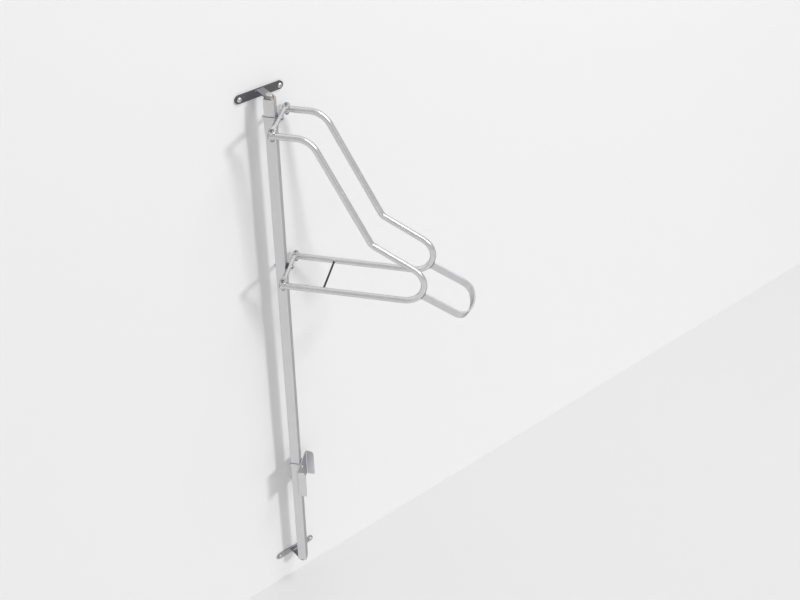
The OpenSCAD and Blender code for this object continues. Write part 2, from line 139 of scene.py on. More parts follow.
def piece(name, shells, place, body, look, replaces=(), sharp=35):
    """One object from one or more closed shells. Corners that lie within a thousandth of a millimetre are
    merged, and a face that has lost a corner that way becomes a triangle."""
    points, faces, uvs, start = [], [], [], 0
    for shell_points, shell_faces, shell_uv in shells:
        placed = place(shell_points)
        shell_faces, shell_uv = turned_outwards(placed, shell_faces, shell_uv)
        _, first, index = np.unique(np.round(placed * 1e6), axis=0, return_index=True, return_inverse=True)
        points.append(placed[first])
        faces.append(index.reshape(-1)[shell_faces] + start)
        uvs.append(shell_uv)
        start += len(first)
    points, faces, uvs = np.concatenate(points), np.concatenate(faces), np.concatenate(uvs)
    merged = faces == np.roll(faces, -1, axis=1)
    whole, thin = merged.sum(1) == 0, merged.sum(1) == 1
    triangles = faces[thin][~merged[thin]].reshape(-1, 3)
    mesh = bpy.data.meshes.new(name)
    mesh.from_pydata(points.tolist(), [], faces[whole].tolist() + triangles.tolist())
    layer = mesh.uv_layers.new(name="length_and_girth")
    flat_uv = np.concatenate([uvs[whole].reshape(-1, 2), uvs[thin][~merged[thin]].reshape(-1, 2)])
    layer.data.foreach_set("uv", flat_uv.astype(np.float32).ravel())
    mesh.polygons.foreach_set("use_smooth", np.ones(len(mesh.polygons), bool))
    mesh.set_sharp_from_angle(angle=math.radians(sharp))
    mesh.materials.append(look)
    made = new_object(name, mesh)
    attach(made, body)
    if replaces:
        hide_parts(*replaces)
    all_pieces.append(made)
    print(f"{name}: {len(mesh.polygons)} faces")


# %% [markdown]
# ## Finishes
# The real rack is zinc plated. Up close such steel isn't one grey: the plating
# clouds softly, the rolled or drawn steel under it leaves fine lines, and where it
# is handled and rubbed it is a little duller. Three small node groups make these
# effects once, and each material places them with its own values. An image could
# do the same, but a pattern worked out in object coordinates has no seams and
# stays sharp at any distance.

# %% Helpers for shader nodes
def new_material(name):
    """A new material, its node tree, and the inputs of its Principled shader."""
    look = bpy.data.materials.new(name)
    look.use_nodes = True
    return look, look.node_tree, look.node_tree.nodes["Principled BSDF"].inputs


def add(tree, kind, inputs=None, **settings):
    """One new shader node with its settings, and its inputs set or linked by name or number."""
    made = tree.nodes.new("ShaderNode" + kind)
    for key, value in settings.items():
        setattr(made, key, value)
    for key, value in (inputs or {}).items():
        if isinstance(value, bpy.types.NodeSocket):
            tree.links.new(value, made.inputs[key])
        else:
            made.inputs[key].default_value = value
    return made


def maths(tree, operation, a, b=0.0):
    """The result socket of a Math node on two numbers or sockets."""
    return add(tree, "Math", {0: a, 1: b}, operation=operation).outputs[0]


def effect(name, inputs, outputs):
    """An empty node group with named inputs and outputs: its tree, and the sockets at its two ends."""
    tree = bpy.data.node_groups.new(name, "ShaderNodeTree")
    for label, kind, value in inputs:
        socket = tree.interface.new_socket(label, in_out="INPUT", socket_type="NodeSocket" + kind)
        if value is not None:
            socket.default_value = value
    for label, kind in outputs:
        tree.interface.new_socket(label, in_out="OUTPUT", socket_type="NodeSocket" + kind)
    return tree, tree.nodes.new("NodeGroupInput").outputs, tree.nodes.new("NodeGroupOutput").inputs


print("materials that came with the solids:", len(bpy.data.materials))

# %% The plating's clouds
clouds, given, out = effect(
    "plating_clouds",
    [("Where", "Vector", None), ("Zinc", "Color", (0.6, 0.6, 0.6, 1)), ("Contrast", "Float", 0.1),
     ("Gloss", "Float", 0.35), ("Gloss Change", "Float", 0.1)],
    [("Color", "Color"), ("Roughness", "Float"), ("Height", "Float")],
)
wide = add(clouds, "TexNoise", {"Vector": given["Where"], "Scale": 22, "Detail": 4, "Roughness": 0.6})
fine = add(clouds, "TexNoise", {"Vector": given["Where"], "Scale": 420, "Detail": 3, "Roughness": 0.7})
mottle = maths(clouds, "ADD", maths(clouds, "MULTIPLY", wide.outputs[0], 0.65),
               maths(clouds, "MULTIPLY", fine.outputs[0], 0.35))
centred = maths(clouds, "SUBTRACT", mottle, 0.5)
tone = maths(clouds, "ADD", 1.0, maths(clouds, "MULTIPLY", centred, given["Contrast"]))
tinted = add(clouds, "VectorMath", {0: given["Zinc"], "Scale": tone}, operation="SCALE")
rough = maths(clouds, "ADD", given["Gloss"], maths(clouds, "MULTIPLY", centred, given["Gloss Change"]))
clouds.links.new(tinted.outputs[0], out["Color"])
clouds.links.new(rough, out["Roughness"])
clouds.links.new(fine.outputs[0], out["Height"])
print("plating_clouds:", len(clouds.nodes), "nodes")

# %% The lines that rolling and drawing leave
lines, given, out = effect(
    "drawn_lines",
    [("Where", "Vector", None), ("Stretch", "Vector", (4, 700, 1)), ("Strength", "Float", 0.1)],
    [("Height", "Float"), ("Change", "Float")],
)
stretched = add(lines, "VectorMath", {0: given["Where"], 1: given["Stretch"]}, operation="MULTIPLY")
streaks = add(lines, "TexNoise", {"Vector": stretched.outputs[0], "Scale": 1, "Detail": 4,
                                  "Roughness": 0.65})
change = maths(lines, "MULTIPLY", maths(lines, "SUBTRACT", streaks.outputs[0], 0.5), given["Strength"])
lines.links.new(streaks.outputs[0], out["Height"])
lines.links.new(change, out["Change"])
print("drawn_lines:", len(lines.nodes), "nodes")

# %% Scuffs, where the plating is rubbed dull
scuffs, given, out = effect(
    "scuffs",
    [("Where", "Vector", None), ("Size", "Float", 60.0), ("Amount", "Float", 0.1)],
    [("Mask", "Float")],
)
patches = add(scuffs, "TexNoise", {"Vector": given["Where"], "Scale": given["Size"], "Detail": 6,
                                   "Roughness": 0.75})
ramp = add(scuffs, "MapRange", {"Value": patches.outputs[0], "From Min": 0.58, "From Max": 0.72})
scratches = add(scuffs, "TexVoronoi", {"Vector": given["Where"], "Scale": 160}, feature="DISTANCE_TO_EDGE")
hair = add(scuffs, "MapRange", {"Value": scratches.outputs["Distance"], "From Min": 0.0,
                                "From Max": 0.03, "To Min": 1.0, "To Max": 0.0})
in_patch = maths(scuffs, "MULTIPLY", hair.outputs[0], ramp.outputs[0])
marks = maths(scuffs, "MAXIMUM", ramp.outputs[0], in_patch)
scuffs.links.new(maths(scuffs, "MULTIPLY", marks, given["Amount"]), out["Mask"])
print("scuffs:", len(scuffs.nodes), "nodes")


# %% [markdown]
# ### Plated steel
# One recipe serves every plated piece: its own grey, its own gloss, and lines that
# run along it, either by its UV map for bent pieces or straight up for the post.
# The post, the hoops and the strap are light, and the wall screws and pins are
# bright. The welds at the tie rod, the strap and the tongues are a darker grey of
# their own. The other dark greys are painted: painted shade and painted reflection
# on the wall bars, the tongues and the tie rod, and painted shade on the cradle's
# bolts and nuts and on the beads along the sleeves' tops.

# %% Plated steel
def plated_steel(name, grey, gloss, contrast=0.16, gloss_change=0.16, stretch=(4, 700, 1), by_uv=True,
                 bump=0.06):
    """A metal whose grey and gloss cloud slightly, with drawn lines along the piece and rubbed patches."""
    look, tree, steel = new_material(name)
    steel["Metallic"].default_value = 1.0
    steel["Specular Tint"].default_value = (0.25, 0.25, 0.25, 1)
    place = add(tree, "TexCoord").outputs
    cloud = add(tree, "Group", {"Where": place["Object"], "Zinc": (*grey, 1), "Contrast": contrast,
                                "Gloss": gloss, "Gloss Change": gloss_change}, node_tree=clouds)
    line = add(tree, "Group", {"Where": place["UV" if by_uv else "Object"], "Stretch": stretch,
                               "Strength": 0.14}, node_tree=lines)
    rubbed = add(tree, "Group", {"Where": place["Object"], "Amount": 0.12}, node_tree=scuffs)
    rough = maths(tree, "ADD", cloud.outputs["Roughness"], line.outputs["Change"])
    fine_height = maths(tree, "MULTIPLY", cloud.outputs["Height"], 0.4)
    height = maths(tree, "ADD", fine_height, line.outputs["Height"])
    bumped = add(tree, "Bump", {"Strength": bump, "Distance": 0.0002, "Height": height})
    tree.links.new(cloud.outputs["Color"], steel["Base Color"])
    tree.links.new(maths(tree, "ADD", rough, rubbed.outputs["Mask"]), steel["Roughness"])
    tree.links.new(bumped.outputs[0], steel["Normal"])
    return look


post_zinc = plated_steel("post_zinc", (0.75, 0.75, 0.76), 0.40, stretch=(700, 700, 4), by_uv=False)
tube_zinc = plated_steel("tube_zinc", (0.76, 0.76, 0.77), 0.26)
strap_zinc = plated_steel("strap_zinc", (0.72, 0.72, 0.73), 0.38)
sheet_zinc = plated_steel("sheet_zinc", (0.75, 0.75, 0.76), 0.36, stretch=(500, 500, 5), by_uv=False)
# Painted shade and painted reflection: this near black copies the shade and the dark reflection on the
# upper bar and the lower tongue, not a darker plating.
painted_shade_bar_zinc = plated_steel("painted_shade_bar_zinc", (0.16, 0.16, 0.17), 0.42, contrast=0.3)
# Painted reflection: the lower bar's middling grey copies a dark reflection it shows, not a plating of its
# own.
painted_reflection_low_bar_zinc = plated_steel("painted_reflection_low_bar_zinc", (0.44, 0.44, 0.45), 0.40, contrast=0.4)
# Painted shade and painted reflection: the tie rod's near black copies the shade and the dark reflection it
# lies in.
painted_shade_rod_zinc = plated_steel("painted_shade_rod_zinc", (0.10, 0.10, 0.105), 0.40, contrast=0.3)
bolt_zinc = plated_steel("bolt_zinc", (0.70, 0.70, 0.69), 0.34, gloss_change=0.1)
# Painted shade: this dark grey on the cradle's bolt heads and nuts copies the shade they sit in.
painted_shade_nut_zinc = plated_steel("painted_shade_nut_zinc", (0.34, 0.34, 0.345), 0.34, gloss_change=0.1)
weld_zinc = plated_steel("weld_zinc", (0.46, 0.46, 0.47), 0.45, contrast=0.5, gloss_change=0.3, bump=0.3)
# Painted shade: the sleeve beads' dark grey draws a shadowed line along the sleeves' upper edges.
painted_shade_bead_zinc = plated_steel("painted_shade_bead_zinc", (0.20, 0.20, 0.205), 0.50, contrast=0.5, gloss_change=0.3, bump=0.3)
# Painted shade and painted reflection: the upper tongue's grey copies the shade and dark reflection near
# the pivot.
painted_shade_tongue_zinc = plated_steel("painted_shade_tongue_zinc", (0.40, 0.40, 0.41), 0.40, contrast=0.25)
bush_bronze = plated_steel("bush_bronze", (0.44, 0.34, 0.20), 0.42, contrast=0.3)
print("plated finishes:", len([m for m in bpy.data.materials if m.name.endswith("zinc")]))

# %% [markdown]
# ### Moulded plastic
# The caps in the tubes' rear ends are grey plastic with the fine, even grain of
# a spark-eroded mould. It is a bump only, with a slight change of gloss.

# %% Moulded plastic
def moulded_plastic(name, colour, gloss):
    """Plastic with a fine even grain and barely any change of colour."""
    look, tree, plastic = new_material(name)
    place = add(tree, "TexCoord").outputs["Object"]
    cloud = add(tree, "Group", {"Where": place, "Zinc": (*colour, 1), "Contrast": 0.3, "Gloss": gloss,
                                "Gloss Change": 0.12}, node_tree=clouds)
    grain = add(tree, "TexNoise", {"Vector": place, "Scale": 2200, "Detail": 2})
    bumped = add(tree, "Bump", {"Strength": 0.35, "Distance": 0.0001, "Height": grain.outputs[0]})
    tree.links.new(cloud.outputs["Color"], plastic["Base Color"])
    tree.links.new(cloud.outputs["Roughness"], plastic["Roughness"])
    tree.links.new(bumped.outputs[0], plastic["Normal"])
    return look


cap_plastic = moulded_plastic("cap_plastic", (0.30, 0.30, 0.31), 0.45)
print("plastic finish:", cap_plastic.name)

# %% [markdown]
# ## Bent tube
# A hoop is one tube bent in one plane. It could be a curve with a round bevel, but
# the bends of a real tube are exact arcs between straights, and they are easiest to
# say as such: corners with a radius each. The path function cuts every corner back
# by radius times the tangent of half the turn and puts an arc there. The tube is a
# circle carried along that path.

# %% A path with round corners
def rounded_path(corners, radii, degrees=3.0):
    """Points and unit directions along straights and tangent arcs in a plane. Each corner is cut back by
    its radius times the tangent of half its turn, and the arc there gets a point every few degrees."""
    corners = np.asarray(corners, float)
    steps = np.diff(corners, axis=0)
    ways = steps / np.linalg.norm(steps, axis=1)[:, None]
    points, directions = [corners[0]], [ways[0]]
    for corner, radius, a, b in zip(corners[1:-1], radii, ways[:-1], ways[1:]):
        turn = math.atan2(a[0] * b[1] - a[1] * b[0], a @ b)
        start = corner - a * radius * math.tan(abs(turn) / 2)
        side = np.array([-a[1], a[0]]) * math.copysign(1, turn)
        t = np.linspace(0, abs(turn), max(2, int(math.degrees(abs(turn)) / degrees) + 1))[:, None]
        points.extend(start + radius * (a * np.sin(t) + side * (1 - np.cos(t))))
        directions.extend(a * np.cos(t) + side * np.sin(t))
    return np.array(points + [corners[-1]]), np.array(directions + [ways[-1]])


NOSE_R, NOSE_TURN = 61.0, math.radians(150)
HOOP_TOP, KNEE = (128, UPPER_LEG - LOWER_LEG), (293, 184)
nose_corner = KNEE[0] + KNEE[1] / math.tan(math.pi - NOSE_TURN)
hoop_corners = [(LEG_START, HOOP_TOP[1]), HOOP_TOP, KNEE, (nose_corner, 0), (LEG_START, 0)]
hoop_path, hoop_ways = rounded_path(hoop_corners, (65, 29, NOSE_R))
print("hoop: tube length", round(float(np.linalg.norm(np.diff(hoop_path, axis=0), axis=1).sum())), "mm")


# %% The hoops
def angles(count):
    """Evenly spaced angles round a circle."""
    return np.linspace(0, 2 * math.pi, count, endpoint=False)


def tube_along(points, directions, x, base_z, rim=0.4):
    """A tube round a path in the plane at x: each point plus radius times (cosine of the angle times the
    path's normal, plus sine times across). Its ends turn in over the rim into a blind bore."""
    ring = angles(56)
    end = [(6, 0), (6, TUBE_BORE_R), (rim, TUBE_BORE_R), (0, TUBE_BORE_R + rim), (0, TUBE_R - rim),
           (rim, TUBE_R), (1.2, TUBE_R)]
    depth, end_r = np.array(end, float).T
    depth = depth[:, None]
    centres = np.concatenate([points[0] + directions[0] * depth, points[1:-1],
                              points[-1] - directions[-1] * depth[::-1]])
    ways = np.concatenate([directions[:1].repeat(len(end), 0), directions[1:-1],
                           directions[-1:].repeat(len(end), 0)])
    radii = np.concatenate([end_r, np.full(len(points) - 2, TUBE_R), end_r[::-1]])[:, None]
    normal = np.stack([-ways[:, 1], ways[:, 0]], -1)
    flat = centres[:, None] + (radii * np.cos(ring))[..., None] * normal[:, None]
    return np.stack([x + radii * np.sin(ring), flat[..., 0], base_z + flat[..., 1]], -1)


for side, x in (("left", -HOOP_X), ("right", HOOP_X)):
    hoop = tube_along(hoop_path, hoop_ways, x, LOWER_LEG)
    piece(side + "_hoop_tube", [shell(hoop)], swung, "rack", tube_zinc, [side + "_hoop"])

# %% [markdown]
# ## Turned pieces
# Caps, pins, bushes and washers are bodies of revolution. Each is a short list of
# radius and height pairs, turned round an axis. A point laid a little before each
# rounded corner keeps the flat beside it looking flat.

# %% Turning a profile
def turned(profile, around=56):
    """Rows of a profile of (radius, height), each carried round the axis. Either may also be one value for
    each angle, which makes a row that isn't round or isn't level."""
    ring = angles(around)
    rows = [np.broadcast_arrays(radius, height, ring)[:2] for radius, height in profile]
    return np.array([np.stack([r * np.cos(ring), r * np.sin(ring), z], -1) for r, z in rows])


def soften(profile, size=0.4, steps=4):
    """The profile with each inner corner replaced by a small round: a quadratic curve from size before the
    corner to size after it, and never past the middle of a side."""
    p = np.asarray(profile, float)
    out = [p[0]]
    for before, corner, after in zip(p[:-2], p[1:-1], p[2:]):
        a, b = before - corner, after - corner
        la, lb = np.linalg.norm(a), np.linalg.norm(b)
        a, b = a * min(size, la * 0.45) / la, b * min(size, lb * 0.45) / lb
        t = np.linspace(0, 1, steps + 1)[:, None]
        out.append(corner + a * 1.25)
        out.extend(corner + a * (1 - t) ** 2 + b * t ** 2)
        out.append(corner + b * 1.25)
    return np.array(out + [p[-1]])


def standing(grid, at):
    """A turned piece with its axis upright, moved to at."""
    return grid + np.asarray(at, float)


def facing_out(grid, at):
    """A turned piece with its axis pointing out of the wall, moved to at."""
    return grid[..., [0, 2, 1]] + np.asarray(at, float)


def lying_across(grid, at):
    """A turned piece with its axis across the rack, moved to at."""
    return grid[..., [2, 0, 1]] + np.asarray(at, float)


print("rows, columns and coordinates of a turned disc:", turned([(0, 0), (1, 0), (0, 1)]).shape)

# %% Leg caps
cap_profile = soften([(0, -1.5), (8.4, -1.5), (9.5, -0.8), (9.5, 0), (6.9, 0), (6.9, 4), (0, 4)], 0.35)
caps = [shell(facing_out(turned(cap_profile), (x, LEG_START, z)))
        for x in (-HOOP_X, HOOP_X) for z in (LOWER_LEG, UPPER_LEG)]
piece("end_plugs", caps, swung, "rack", cap_plastic, ["leg_caps"])

# %% [markdown]
# ## Cross tubes and tie rod
# A cross tube lies over both legs. Its ends are pressed flat, so that a bolt can
# hold them down, as on many cheap and strong tube frames. A Boolean of a cone and a
# wedge would give hard creases, where the real tube flows. Here each section is a
# flat bar with round sides: two half circles with a straight between them. Where
# the straight is zero this is the round tube, and towards the end its height falls
# and its width grows along one smooth step, which keeps the metal's girth.

# %% Cross tubes
def smooth_step(t):
    """Goes from 0 to 1 with level ends: three t squared less two t cubed."""
    t = np.clip(t, 0, 1)
    return t * t * (3 - 2 * t)


def pressed_tube(z0, around=64):
    """Sections of a tube with both ends pressed flat: at each station a half width, a half height, and a
    corner radius that is the smaller of the two."""
    press_end = HOOP_X - PRESSED_HALF
    press_start = press_end - 2 * CROSS_R
    tip = np.linspace(0, math.pi / 2, 14)
    x = np.concatenate([[0, press_start - 0.5], np.linspace(press_start, press_end, 18),
                        HOOP_X + PRESSED_HALF * np.sin(tip)])
    pressed = smooth_step((x - press_start) / (press_end - press_start))
    wide = CROSS_R + (PRESSED_HALF - CROSS_R) * pressed
    wide[-len(tip):] = PRESSED_HALF * np.cos(tip)
    high = CROSS_R + (PRESSED_T / 2 - CROSS_R) * pressed
    x = np.concatenate([-x[:0:-1], x])
    wide, high = (np.concatenate([v[:0:-1], v])[:, None] for v in (wide, high))
    corner = np.minimum(wide, high) * 0.999
    ring = angles(around) + math.pi / around
    c, s = np.cos(ring), np.sin(ring)
    out = CROSS_OUT + np.sign(c) * (wide - corner) + corner * c
    up = z0 + np.sign(s) * (high - corner) + corner * s
    return np.stack([np.broadcast_to(x[:, None], out.shape), out, up], -1)


for name, z in (("upper", UPPER_LEG), ("lower", LOWER_LEG)):
    piece(name + "_cross_bar", [shell(pressed_tube(z + CROSS_RISE))], swung, "rack", tube_zinc,
          [name + "_cross_tube"], sharp=50)

# %% Tie rod
rod_profile = soften([(0, -TIE_HALF), (TIE_R, -TIE_HALF), (TIE_R, TIE_HALF), (0, TIE_HALF)], 0.3)
rod = lying_across(turned(rod_profile, 32), (0, TIE_OUT, LOWER_LEG))
# The rod's near black is painted shade and painted reflection.
piece("tie_rod_bar", [shell(rod)], swung, "rack", painted_shade_rod_zinc, ["tie_rod"])

# %% [markdown]
# ## The strap
# The strap is flat bar bent the easy way to a U with a bowed front. Its section is
# a long rectangle with slightly rounded edges, as rolled flat has. The section is
# carried along the U, and at each arm's end it is cut to the hoop's nose: a line of
# the arm that lies w above the nose's centre and t off the hoop's plane starts
# where the round of the bent tube is reached.

# %% The strap's path
STRAP_W, STRAP_T = 25.0, 5.0
STRAP_TILT = math.radians(27)
STRAP_DROP, STRAP_REACH = 6.0, 222.0
STRAP_CORNER, STRAP_BOW = 36.0, 134.0
nose_centre = np.array([nose_corner - NOSE_R * math.tan(NOSE_TURN / 2), NOSE_R])
bow_centre = STRAP_REACH - STRAP_T / 2 - STRAP_BOW
bow_half = math.asin((HOOP_X - STRAP_CORNER) / (STRAP_BOW - STRAP_CORNER))
corner_along = bow_centre + (STRAP_BOW - STRAP_CORNER) * math.cos(bow_half)


def unit(turn):
    """Unit steps away from a bend's centre, as pairs of along and across."""
    return np.stack([np.cos(turn), np.sin(turn)], 1)


turn, bow = np.linspace(math.pi / 2, bow_half, 16), np.linspace(bow_half, 0, 14)[1:]
arc = (corner_along, HOOP_X - STRAP_CORNER) + STRAP_CORNER * unit(turn)
front = (bow_centre, 0) + STRAP_BOW * unit(bow)
arm = [(NOSE_R + 6, HOOP_X), (NOSE_R + 30, HOOP_X), (corner_along - 1, HOOP_X)]
half = np.concatenate([arm, arc, front])
half_normals = np.concatenate([[(0, 1)] * len(arm), unit(turn), unit(bow)])
mirror = np.array([1, -1])
strap_path = np.concatenate([half, (half * mirror)[-2::-1]])
strap_normals = np.concatenate([half_normals, (half_normals * mirror)[-2::-1]])
strap_length = np.linalg.norm(np.diff(strap_path, axis=0), axis=1).sum()
print("strap: length of flat bar", round(float(strap_length)), "mm")


# %% The strap's bar
def flat_section(width, thickness, round_r=0.9, steps=4):
    """A closed rectangle with rounded corners, a point beside each, as (thickness, width) pairs."""
    corner = unit(np.linspace(0, math.pi / 2, steps + 1)) * round_r
    corner = np.concatenate([corner[:1] - (0, 0.4), corner, corner[-1:] - (0.4, 0)])
    quarter = corner + (thickness / 2 - round_r, width / 2 - round_r)
    return np.concatenate([quarter, (quarter * (-1, 1))[::-1], quarter * (-1, -1),
                           (quarter * (1, -1))[::-1]])


def coped(radius, t, w):
    """How far along the slope the bent nose's tube is reached: the root of (the nose's radius plus the root
    of radius squared less t squared) squared, less w squared."""
    return np.sqrt((NOSE_R + np.sqrt(radius ** 2 - t ** 2)) ** 2 - w ** 2)


def on_slope(along, across, w):
    """Points of the strap, turned about the nose's centre by the strap's tilt."""
    c, s = math.cos(STRAP_TILT), math.sin(STRAP_TILT)
    out = nose_centre[0] + along * c + w * s
    up = LOWER_LEG + nose_centre[1] - along * s + w * c
    return np.stack([across, out, up], -1)


def bent_strap():
    """The section carried along the U, with coped ends, laid on the strap's slope."""
    section = flat_section(STRAP_W, STRAP_T)
    t, w = section[:, 0], section[:, 1] - STRAP_DROP
    along = strap_path[:, None, 0] + strap_normals[:, None, 0] * t
    across = strap_path[:, None, 1] + strap_normals[:, None, 1] * t
    along[[0, -1]] = coped(TUBE_R + 0.1, t, w)
    rows = on_slope(along, across, np.broadcast_to(w, along.shape))
    closing = rows[[0, -1]].mean(1, keepdims=True).repeat(len(section), 1)
    return np.concatenate([closing[:1], rows, closing[1:]])


piece("wheel_strap_bar", [shell(bent_strap())], swung, "rack", strap_zinc, ["wheel_strap"])

# %% [markdown]
# ## Square tube
# The post and its sleeves are square tube with rounded corners. The wall's edge at
# each end has a small round of its own, where the saw's burr was taken off. The
# loop runs up the outside and down the inside.

# %% Square tube
def square_ring(size, corner, z, steps=6):
    """A closed square with rounded corners at height z, with a point beside each round."""
    arc = unit(np.linspace(0, math.pi / 2, steps + 1)) * corner
    arc = np.concatenate([arc[:1] - (0, 0.5), arc, arc[-1:] - (0.5, 0)]) + (size / 2 - corner)
    quarters = [np.array([[c, s], [-s, c]]) for c, s in ((1, 0), (0, 1), (-1, 0), (0, -1))]
    ring = np.concatenate([arc @ quarter for quarter in quarters])
    return np.column_stack([ring, np.full(len(ring), z)])


def square_tube(size, corner, wall, low, high, edge=0.3):
    """Rings of a square tube as one closed loop: inset by 0 outside, and by the wall inside."""
    loop = [(edge, low), (0, low + edge), (0, low + 2), (0, high - 2), (0, high - edge), (edge, high),
            (wall - edge, high), (wall, high - edge), (wall, high - 2), (wall, low + 2),
            (wall, low + edge), (wall - edge, low)]
    return np.array([square_ring(size - 2 * i, max(corner - i, 0.2), z) for i, z in loop])


BUSH_ROOM = 2.3
POST_LOW, POST_HIGH = LOWER_TONGUE + BAR_T + BUSH_ROOM, UPPER_TONGUE - BUSH_ROOM
post_rings = square_tube(POST, POST_CORNER, POST_WALL, POST_LOW, POST_HIGH)
piece("post_tube", [shell(post_rings, (True, True))], swung, "rack", post_zinc, ["post"])

SLEEVE, SLEEVE_CORNER, SLEEVE_WALL = 33.2, 4.6, 1.5
SLEEVE_HIGH, SLEEVE_LENGTH = UPPER_LEG + CROSS_RISE + 8, 46
for name, low, high in (("upper", SLEEVE_HIGH - SLEEVE_LENGTH, SLEEVE_HIGH), ("rest", REST_LOW, REST_HIGH)):
    rings = square_tube(SLEEVE, SLEEVE_CORNER, SLEEVE_WALL, low, high, 0.4)
    piece(name + "_sleeve_tube", [shell(rings, (True, True))], swung, "rack", post_zinc,
          [name + "_sleeve"])

# %% [markdown]
# ## The rest
# The rest is a channel folded from sheet. A sheet is a surface with a thickness, so
# its path runs along the middle of the sheet, from the front of one flange round
# the web to the front of the other. The flanges' upper front corners are quarter
# circles and the lower ones are nearly square, as the photograph shows them: there
# the sheet gets shorter, from its top and from its bottom, as it nears its edge.

# %% The rest's channel
REST_W, REST_DEPTH, SHEET, SHEET_BEND = 110, 30, 3, 3
REST_BACK = SLEEVE_OUT + 0.1
TOP_ROUND, LOW_ROUND = 15, 2


def folded_channel():
    """A channel's rows along the sheet and columns round its edge. Near a flange's front its top and its
    bottom are drawn in by the corner's radius less the root of (the radius squared less the square of the
    distance into the corner)."""
    half, middle = REST_W / 2 - SHEET / 2, REST_BACK + SHEET / 2
    front = REST_BACK + REST_DEPTH
    folds = [(-half, front - TOP_ROUND), (-half, middle), (half, middle), (half, front - TOP_ROUND)]
    path, ways = rounded_path(folds, (SHEET_BEND + SHEET / 2,) * 2, 9)
    path = np.concatenate([path[:1], path[:1] + ways[0] * 0.5, path[1:-1],
                           path[-1:] - ways[-1] * 0.5, path[-1:]])
    ways = np.concatenate([ways[:1], ways, ways[-1:]])
    from_front = np.concatenate([[0, 0.05, 0.3, 0.8, 1.4], np.linspace(LOW_ROUND, TOP_ROUND, 14)[:-1]])
    tip = np.stack([np.full(len(from_front), -half), front - from_front], 1)
    path = np.concatenate([tip, path, (tip * (-1, 1))[::-1]])
    ways = np.concatenate([[(0.0, -1.0)] * len(tip), ways, [(0.0, 1.0)] * len(tip)])

    def drawn(radius):
        into = np.clip(radius - from_front, 0, radius)
        side = radius - np.sqrt(radius ** 2 - into ** 2)
        return np.concatenate([side, np.zeros(len(path) - 2 * len(tip)), side[::-1]])[:, None]

    normal = np.stack([ways[:, 1], -ways[:, 0]], 1)
    section = flat_section(2.0, SHEET, 0.5, 3)
    t, upper = section[:, 0], section[:, 1] > 0
    x = path[:, None, 0] + normal[:, None, 0] * t
    out = path[:, None, 1] + normal[:, None, 1] * t
    edge = section[:, 1] - np.where(upper, 1.0, -1.0)
    z = np.where(upper, REST_HIGH - drawn(TOP_ROUND), REST_LOW + drawn(LOW_ROUND)) + edge
    rows = np.stack([x, out, z], -1)
    closing = rows[[0, -1]]
    closing[..., 0] = path[[0, -1], :1]
    return np.concatenate([closing[:1], rows, closing[1:]])


piece("wheel_rest_channel", [shell(folded_channel())], swung, "rack", sheet_zinc, ["wheel_rest"])

# %% [markdown]
# ## Wall bars and tongues
# A flat plate with a hole can be one closed surface that runs round the hole: for
# each angle about the hole's centre, a loop goes from the hole's wall over the top
# face to the outline, down, and back underneath. The outline's distance at an angle
# is a formula: the end's radius, or the distance to a straight side over the sine
# or cosine. A wall bar is two such halves, mirrored and joined at the middle.

# %% Plates with a hole
def holed_plate(hole, half_width, end, thickness, edge=0.5, square_end=True):
    """Loops round a hole at the origin of a plate whose round end lies towards +x and whose square end lies
    at -end. An inset draws the outline in, to round its edges."""
    corner = math.atan2(half_width, -end)
    angle = np.sort(np.concatenate([angles(96), [corner, 2 * math.pi - corner]]))
    c, s = np.cos(angle), np.sin(angle)

    def outline(inset):
        with np.errstate(divide="ignore"):
            sides = (half_width - inset) / np.abs(s)
        back = (end - (inset if square_end else 0)) / np.maximum(-c, 1e-9)
        return np.where(c >= 0, half_width - inset, np.minimum(sides, back))

    top, low = thickness, 0
    hole_loop = [(edge, low), (0, edge), (0, top - edge), (edge, top), (1.2 * edge, top)]
    rim_loop = [(1.2 * edge, top), (edge, top), (0.3 * edge, top - 0.3 * edge), (0, top - edge),
                (0, edge), (0.3 * edge, 0.3 * edge), (edge, low), (1.2 * edge, low)]
    loop = [(hole + out, z) for out, z in hole_loop] + [(outline(inset), z) for inset, z in rim_loop]
    loop.append((hole + 1.2 * edge, low))
    return np.array([np.stack(np.broadcast_arrays(r * c, r * s, z), -1) for r, z in loop])


def wall_bar(z0):
    """Two mirrored halves round their screw holes, with the touching walls at the middle taken away."""
    grid = holed_plate(SCREW_HOLE_R, BAR_H / 2, SCREW_X, BAR_T, square_end=False)
    shells = []
    for sign in (1, -1):
        half_bar = np.stack([sign * (grid[..., 0] + SCREW_X), grid[..., 2], z0 + grid[..., 1]], -1)
        points, faces, uv = shell(half_bar, (True, True))
        inside = (np.abs(points[faces][..., 0]) < 1e-6).all(1)
        shells.append((points, faces[~inside], uv[~inside]))
    (p, f, u), (q, g, v) = shells
    return np.concatenate([p, q]), np.concatenate([f, g[:, ::-1] + len(p)]), np.concatenate([u, v[:, ::-1]])


# The upper bar's near black and the lower bar's middling grey are painted shade and painted reflection.
for name, z, look in (("upper", UPPER_BAR, painted_shade_bar_zinc), ("lower", LOWER_BAR, painted_reflection_low_bar_zinc)):
    piece(name + "_wall_plate", [wall_bar(z)], fixed, "brackets", look, [name + "_wall_bar"])

# %% Tongues
def tongue(z0):
    """A plate round the pivot's hole, its round end out and its square end at the wall bar."""
    grid = holed_plate(PIVOT_HOLE_R, BAR_H / 2, AXIS_OUT - BAR_T - 0.1, BAR_T)
    return np.stack([grid[..., 1], AXIS_OUT + grid[..., 0], z0 + grid[..., 2]], -1)


# Both tongues' greys are painted shade and painted reflection.
for name, z, look in (("upper", UPPER_TONGUE, painted_shade_tongue_zinc), ("lower", LOWER_TONGUE, painted_shade_bar_zinc)):
    piece(name + "_tongue_plate", [shell(tongue(z), (True, True))], fixed, "brackets", look,
          [name + "_tongue"])

